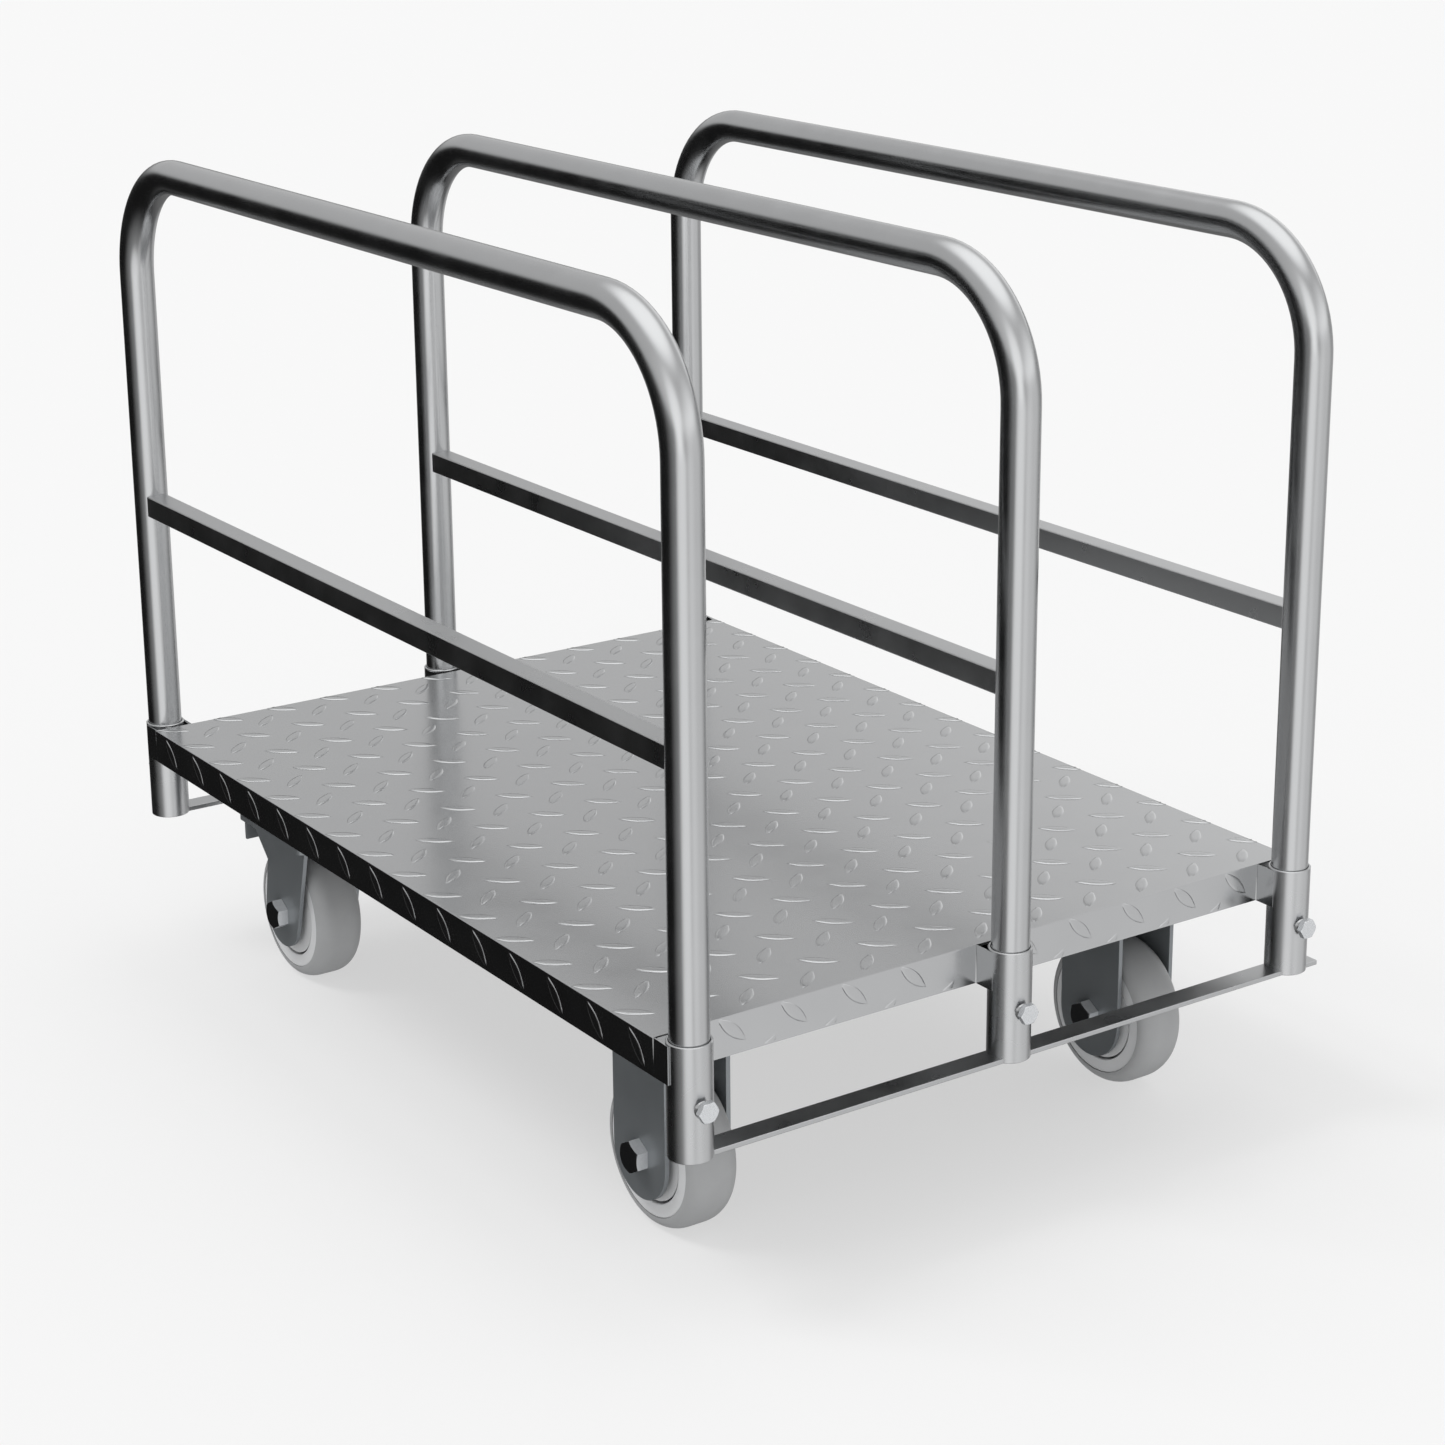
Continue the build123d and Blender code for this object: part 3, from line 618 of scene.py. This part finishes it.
# %% [markdown]
# The lugs are rolled into the sheet before it is folded, in two leaning rows that alternate.
# So they are laid out on the flat blank, and a lug that crosses a fold line is wrapped round it
# by wrap(), just as the press brake would. One lug is a small grid, squeezed to a pointed oval
# with steep sides. Hundreds of them are made, so a lug has only a few dozen faces.

# %% Tread lugs
PITCH_X, PITCH_Y = 71.3 * MM, 69.6 * MM
LUG_LENGTH, LUG_WIDTH = 43 * MM, 12.5 * MM
LEAN = 48               # degrees between a lug and the X axis, to either side
LUG_RIM_GAP = 0.3 * MM  # a trimmed lug stops this far above the flange's edge
LUG_ROOT = 0.03 * MM    # how far a lug's rim is sunk in the sheet
LUG_RINGS = [(0, 1.0), (0.45, 0.97), (0.80, 0.88), (1.0, 0)]    # share of width and height
LUG_RISE = 6            # the higher this power, the nearer to its ends a lug is full height
SHIFT_X, SHIFT_Y = 0.43, 0.5    # from one leaning row to the other, in pitches
PHASE_X, PHASE_Y = 48 * MM, 40 * MM


def wrap(point, height):
    """Place of a point of the blank, lifted by height, after the edges are folded down."""
    out_x = abs(point.x) - (flat_x - FOLD_RADIUS * MM)
    out_y = abs(point.y) - (flat_y - FOLD_RADIUS * MM)
    place = Vector((point.x, point.y, flat_z + height))
    for axis, out, flat in (("x", out_x, flat_x), ("y", out_y, flat_y)):
        if out > 0:
            way = 1 if getattr(point, axis) > 0 else -1
            arc = FOLD_RADIUS * MM * pi / 2
            hub = flat - FOLD_RADIUS * MM
            if out < arc:
                angle = out / (FOLD_RADIUS * MM)
                lifted = FOLD_RADIUS * MM + height
                setattr(place, axis, way * (hub + lifted * sin(angle)))
                place.z = flat_z - FOLD_RADIUS * MM + lifted * cos(angle)
            else:
                setattr(place, axis, way * (flat + height))
                place.z = flat_z - FOLD_RADIUS * MM - (out - arc)
    return place


def lug(bm, x, y, lean):
    """One lug on the blank: steep at its rim and nearly flat on top, with two pointed ends."""
    rings = len(LUG_RINGS) - 1
    grid = bmesh.ops.create_grid(bm, x_segments=8, y_segments=2 * rings, size=1)["verts"]
    c, s = cos(radians(lean)), sin(radians(lean))
    for v in grid:
        along, across = v.co.x, v.co.y
        half_width, height = LUG_RINGS[round(rings * abs(across))]
        v.co.z = LUG_HEIGHT * height * (1 - along ** LUG_RISE) - LUG_ROOT
        across = half_width if across > 0 else -half_width
        u = LUG_LENGTH / 2 * along
        w = LUG_WIDTH / 2 * across * (1 - along ** 2)
        v.co.x, v.co.y = x + u * c - w * s, y + u * s + w * c
    bmesh.ops.remove_doubles(bm, verts=grid, dist=0.01 * MM)


def on_sheet(x, y):
    """Whether a lug's middle lies where the blank has metal: on the deck or on one flange."""
    if abs(x) <= flat_x and abs(y) <= flat_y:
        return True
    if abs(y) > flat_y:
        return abs(x) < flat_x and abs(y) - flat_y < SIDE_DEPTH + LUG_LENGTH / 3
    clear = min(abs(y - hoop) for hoop in HOOP_Y.values()) > SOCKET_SIDE + LUG_LENGTH / 3
    return clear and abs(x) - flat_x < END_DEPTH + LUG_LENGTH / 3


def lugs():
    """All lugs, wrapped round the folds, and trimmed at the bottom of the flanges."""
    bm = bmesh.new()
    columns, rows = int(flat_x / PITCH_X) + 2, int(flat_y / PITCH_Y) + 2
    count = 0
    for i in range(-columns, columns + 1):
        for j in range(-rows, rows + 1):
            for shift, lean in ((0, LEAN), (1, -LEAN)):
                x = PHASE_X + (i + SHIFT_X * shift) * PITCH_X
                y = PHASE_Y + (j + SHIFT_Y * shift) * PITCH_Y
                if on_sheet(x, y):
                    lug(bm, x, y, lean)
                    count += 1
    bmesh.ops.holes_fill(bm, edges=[e for e in bm.edges if e.is_boundary])
    for v in bm.verts:
        v.co = wrap(v.co, v.co.z)
    rim = flat_z - SIDE_DEPTH + LUG_RIM_GAP
    bmesh.ops.bisect_plane(bm, geom=bm.verts[:] + bm.edges[:] + bm.faces[:],
                           plane_co=(0, 0, rim), plane_no=(0, 0, -1), clear_outer=True)
    bmesh.ops.holes_fill(bm, edges=[e for e in bm.edges if e.is_boundary])
    return bm, count


DECK_SHARP = radians(50)    # a lug's side is smooth with its top, a cut edge isn't

sheet_mesh = thickened(deck_sheet(), SHEET)
shape, lug_count = lugs()
shape.from_mesh(sheet_mesh)
bpy.data.meshes.remove(sheet_mesh)
finish_piece(shape, "tread_plate_deck", tread_plate, "chassis", ["deck_plate"],
             sharp=DECK_SHARP)
print("deck made with", lug_count, "lugs")


# %% [markdown]
# ## Wheels
# Each wheel is a core with a rubber tread moulded over it, and a round thread guard on each
# side that keeps string out of the bearing. All of them are spun about the axle. The guard
# leaves a narrow groove inside the rim, which reads as a dark ring.

# %% Wheels
WHEEL_RADIUS, WHEEL_HALF = 80, 28
CROWN_HALF = 9      # half of the tread's flat crown
SEAT = 66.05        # radius where the rubber sits on the core
TREAD_ARC = 10      # points along a shoulder


def flipped(outline):
    """The same outline on the other side of the wheel."""
    return [(r, -d) for r, d in outline]


def mirrored(half):
    """Closed outline from its half on the positive side of the wheel's middle."""
    return half + flipped(half)[::-1]


def tread_outline():
    """Tyre section: a flat crown and elliptical shoulders, closed at the rim."""
    outline = []
    for i in range(TREAD_ARC + 1):
        angle = pi / 2 * i / TREAD_ARC
        radius = SEAT + (WHEEL_RADIUS - SEAT) * sin(angle)
        outline.append((radius, CROWN_HALF + (WHEEL_HALF - CROWN_HALF) * cos(angle)))
    return mirrored(outline)


CORE_OUTLINE = mirrored([
    (20.0, 32.2), (20.4, 32.4), (26.0, 32.4), (27.0, 31.4), (27.0, 7.5), (28.5, 6.0),
    (49.5, 6.0), (52.0, 8.5), (52.0, 26.2), (52.8, 27.0), (65.2, 27.0), (66.0, 26.2),
])
GUARD_OUTLINE = [
    (27.1, 24.4), (27.1, 26.3), (27.3, 26.5), (44.0, 26.5), (49.2, 25.6), (49.8, 25.0),
    (49.8, 24.0),
]
BEARING_OUTLINE = [
    (8.05, 20.4), (19.95, 20.4), (19.95, 32.0), (19.0, 32.4), (9.0, 32.4), (8.05, 32.0),
]

for end in ENDS:
    for side in SIDES:
        wheel = f"{end}_{side}"
        body = f"{wheel}_wheel"
        hub = centre(f"{wheel}_tread")
        shape = bmesh.new()
        lathe(shape, tread_outline(), hub, Y_AXIS, steps=128)
        finish_piece(shape, f"{wheel}_tyre", tread_rubber, body,
                     [f"{wheel}_tread"])
        shape = bmesh.new()
        lathe(shape, CORE_OUTLINE, hub, Y_AXIS)
        finish_piece(shape, f"{wheel}_wheel_core", core_plastic, body,
                     [f"{wheel}_core"])
        shape = bmesh.new()
        for outline in (GUARD_OUTLINE, flipped(GUARD_OUTLINE)):
            lathe(shape, outline, hub, Y_AXIS)
        finish_piece(shape, f"{wheel}_guards", guard_plastic, body,
                     [f"{wheel}_thread_guards"])
        shape = bmesh.new()
        for outline in (BEARING_OUTLINE, flipped(BEARING_OUTLINE)):
            lathe(shape, outline, hub, Y_AXIS, steps=48)
        finish_piece(shape, f"{wheel}_bearing_pair", strip_steel, body,
                     [f"{wheel}_bearings"])
print("wheels made")

# %% [markdown]
# ## Axle bolts and nuts
# The axles are plain hexagon bolts with their heads on the truck's right side and nuts on the
# left. Their sides are drawn and chalky and their end faces are turned and bright, so a face
# takes its finish from its own direction.

# %% Axles
AXLE_FLATS, AXLE_HEAD, AXLE_NUT, AXLE_RADIUS = 30, 13, 13, 8
AXLE_PROUD, AXLE_POINT = 3.5, 1.2   # the thread's length past the nut, and its chamfer
AXLE_ROOT = 1                       # how far the shank runs on into the head
AXLE_TURN = pi / 6                  # turns a point of the hexagon to the side
NUT_ROOM = 0.1
FORK_OUTER = 38 * MM
TURNED = 0.8    # a face that points this much along the axle was turned, and is polished


def axle_set(bolt_node, nut_node, hubs, body, label):
    """Bolts and nuts of the wheels whose middles are given."""
    bolts, nuts = bmesh.new(), bmesh.new()
    for hub in hubs:
        right = hub - Y_AXIS * FORK_OUTER
        left = hub + Y_AXIS * FORK_OUTER
        hex_solid(bolts, AXLE_FLATS, AXLE_HEAD, right, -Y_AXIS, turn=AXLE_TURN)
        length = 2 * FORK_OUTER / MM + AXLE_NUT + AXLE_PROUD
        shank = [(AXIS_HOLE, -AXLE_ROOT), (AXLE_RADIUS, -AXLE_ROOT),
                 (AXLE_RADIUS, length - AXLE_POINT), (AXLE_RADIUS - AXLE_POINT, length),
                 (AXIS_HOLE, length)]
        lathe(bolts, shank, right, Y_AXIS, steps=40)
        hex_solid(nuts, AXLE_FLATS, AXLE_NUT, left, Y_AXIS, turn=AXLE_TURN,
                  bore=AXLE_RADIUS + NUT_ROOM, both_ends=True)
    bolt = finish_piece(bolts, f"{label}_axle_screws", zinc_flats, body,
                        [bolt_node])
    nut = finish_piece(nuts, f"{label}_axle_locknuts", zinc_flats, body,
                       [nut_node])
    for piece in (bolt, nut):
        piece.data.materials.append(zinc_faced)
        for face in piece.data.polygons:
            face.material_index = int(abs(face.normal.y) > TURNED)


front_hubs = [centre(f"front_{side}_tread") for side in SIDES]
axle_set("front_axle_bolts", "front_axle_nuts", front_hubs, "chassis", "front")
for side in SIDES:
    axle_set(f"rear_{side}_axle_bolt", f"rear_{side}_axle_nut", [centre(f"rear_{side}_tread")],
             f"rear_{side}_swivel", f"rear_{side}")
print("axles made")


# %% [markdown]
# ## Forks and the frame under the deck
# These are pressings and cut sections whose CAD shape is right already. A copy of each node is
# merged, its flat faces are made whole again, and its edges are rounded as a press leaves them.

# %% Pressed and cut steel
MERGE_GAP = 0.002 * MM      # corners of the CAD mesh that lie this near are one
FLAT = radians(0.5)         # faces that turn by less than this are one flat face


def dressed(node, round_mm):
    """Copy of a CAD node as a bmesh with whole flat faces and rounded edges."""
    bm = bmesh.new()
    bm.from_mesh(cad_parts[node].data)
    bmesh.ops.remove_doubles(bm, verts=bm.verts, dist=MERGE_GAP)
    bmesh.ops.dissolve_limit(bm, angle_limit=FLAT, verts=bm.verts, edges=bm.edges)
    soften(bm, round_mm)
    return bm


DRESSED = [
    # CAD node, finish, body, slot, rounding of its edges in mm
    ("front_right_fork", fork_paint, "chassis", "fork_paint", 0.7),
    ("front_left_fork", fork_paint, "chassis", "fork_paint", 0.7),
    ("rear_right_fork", fork_paint, "rear_right_swivel", "fork_paint", 0.7),
    ("rear_left_fork", fork_paint, "rear_left_swivel", "fork_paint", 0.7),
    ("rear_right_top_plate", fork_paint, "chassis", "fork_paint", 0.5),
    ("rear_left_top_plate", fork_paint, "chassis", "fork_paint", 0.5),
    ("front_caster_beam", strip_steel, "chassis", "underframe_steel", 0.8),
    ("rear_caster_beam", strip_steel, "chassis", "underframe_steel", 0.8),
    ("right_long_member", strip_steel, "chassis", "underframe_steel", 1.0),
    ("middle_long_member", strip_steel, "chassis", "underframe_steel", 1.0),
    ("left_long_member", strip_steel, "chassis", "underframe_steel", 1.0),
    ("rear_kingpins", zinc, "chassis", "zinc_fasteners", 0.3),
    ("rear_swivel_races", welded_steel, "chassis", "bearing_steel", 0.3),
    ("caster_plate_bolts", zinc, "chassis", "zinc_fasteners", 0.3),
    ("caster_plate_nuts", zinc, "chassis", "zinc_fasteners", 0.3),
]
for node, material, body, slot, round_mm in DRESSED:
    finish_piece(dressed(node, round_mm), f"{node}_dressed", material, body, [node])
print("dressed", len(DRESSED), "nodes")

# %% [markdown]
# ## Camera
# The camera stands to the front right of the truck, above its hoops, with a long lens. The
# small shifts move the frame off the lens's axis, as a crop does.

# %% Camera
VIEW_AZIMUTH, VIEW_DROP = radians(35.68), radians(16.648)
CAMERA_PLACE = (2.6825, -1.7651, 1.4168)    # metres
SENSOR, LENS = 36, 76.73                    # mm
SHIFT = (-0.0594, -0.0651)                  # shares of the frame
camera = bpy.data.objects.new("camera", bpy.data.cameras.new("camera"))
bpy.context.scene.collection.objects.link(camera)
camera.location = CAMERA_PLACE
ahead = Vector((-cos(VIEW_DROP) * cos(VIEW_AZIMUTH), cos(VIEW_DROP) * sin(VIEW_AZIMUTH),
                -sin(VIEW_DROP)))
camera.rotation_mode = "QUATERNION"
camera.rotation_quaternion = ahead.to_track_quat("-Z", "Y")
camera.data.sensor_width = SENSOR
camera.data.lens = LENS
camera.data.shift_x, camera.data.shift_y = SHIFT
bpy.context.scene.camera = camera
print("camera made")

# %% [markdown]
# ## Studio
# Bright metal shows the room more than itself. So the room is designed as a product studio is:
# a dark flag on the truck's right, a large pale wall beyond its front end, a softbox near the
# camera and a soft ceiling. Each is a lobe of light about a direction in the world shader.

# %% Studio walls
def unit(x, y, z):
    """Direction as a vector of length 1."""
    return Vector((x, y, z)).normalized()


LOBES = [
    # direction the light comes from, cosine where it starts, cosine where it is full, strength
    (unit(0.00, 0.00, 1.00), 0.05, 0.23, 0.70),     # grey dome, all that lies above the floor
    (unit(-0.05, 0.10, 1.00), 0.68, 0.93, 1.00),    # ceiling light
    (unit(0.80, 0.56, -0.30), 0.45, 0.97, 0.94),    # pale wall beyond the front end
    (unit(-0.40, 0.90, -0.03), 0.78, 0.97, 0.50),   # its dimmer side, along the truck's left
    (unit(0.76, -0.62, -0.27), 0.25, 0.97, 0.34),   # spill round the softbox
    (unit(0.76, -0.62, -0.27), 0.86, 0.985, 0.95),  # softbox near the camera, its lower half
    (unit(0.74, -0.62, 0.33), 0.86, 0.98, 0.55),    # softbox, its upper half
    (unit(-0.68, 0.60, -0.45), 0.62, 0.95, 0.19),   # light that the floor sends up from behind
]
AMBIENT = 0.012

world = bpy.data.worlds.new("studio")
bpy.context.scene.world = world
world.use_nodes = True
sky = world.node_tree
sky.nodes.clear()
toward = add_node(sky, "ShaderNodeTexCoord").outputs["Generated"]
total = AMBIENT
for direction, start, full, strength in LOBES:
    facing = add_node(sky, "ShaderNodeVectorMath", {0: toward, 1: direction},
                      operation="DOT_PRODUCT")
    lobe = add_node(sky, "ShaderNodeMapRange", {
        "Value": facing.outputs["Value"], "From Min": start, "From Max": full,
        "To Min": 0.0, "To Max": strength,
    }, interpolation_type="SMOOTHSTEP")
    total = add_node(sky, "ShaderNodeMath", {0: lobe.outputs["Result"], 1: total},
                     operation="ADD").outputs[0]
room = add_node(sky, "ShaderNodeBackground", {"Strength": total})
room.inputs["Color"].default_value = (1, 1, 1, 1)
add_node(sky, "ShaderNodeOutputWorld", {"Surface": room.outputs["Background"]})
print("studio with", len(LOBES), "soft walls")


# %% [markdown]
# ## Key light and floor
# One broad light, high over the truck's rear right corner, gives the soft shadow on the floor.
# The floor is matt, and it glows a little by itself, which keeps the shadow pale. Neither shows
# in reflections, because the lobes above already stand for them there.

# %% Lights and floor
SUN_STRENGTH, SUN_SPREAD = 1.1, radians(22)
SUN_AIM = Vector((0.40, 0.55, -1.0))
FLOOR_HALF = 40         # metres
FLOOR_GLOW = 0.54       # its own light, where 1 is white

sun = bpy.data.lights.new("key", "SUN")
sun.energy = SUN_STRENGTH
sun.angle = SUN_SPREAD
key = bpy.data.objects.new("key", sun)
key.rotation_mode = "QUATERNION"
key.rotation_quaternion = SUN_AIM.to_track_quat("-Z", "Y")
key.visible_glossy = False
bpy.context.scene.collection.objects.link(key)

floor_shape = bmesh.new()
bmesh.ops.create_grid(floor_shape, x_segments=1, y_segments=1, size=FLOOR_HALF)
floor_mesh = bpy.data.meshes.new("studio_floor")
floor_shape.to_mesh(floor_mesh)
floor_shape.free()
floor = bpy.data.objects.new("studio_floor", floor_mesh)
bpy.context.scene.collection.objects.link(floor)
floor_paint, floor_tree, floor_shader = new_material("matt_white_floor")
floor_shader.inputs["Base Color"].default_value = linear("909090")
floor_shader.inputs["Roughness"].default_value = 0.9
floor_shader.inputs["Specular IOR Level"].default_value = 0.0
floor_shader.inputs["Emission Color"].default_value = (1, 1, 1, 1)
floor_shader.inputs["Emission Strength"].default_value = FLOOR_GLOW
floor_mesh.materials.append(floor_paint)
floor.visible_glossy = False
bpy.context.scene.view_settings.view_transform = "Standard"
print("floor and lights made")
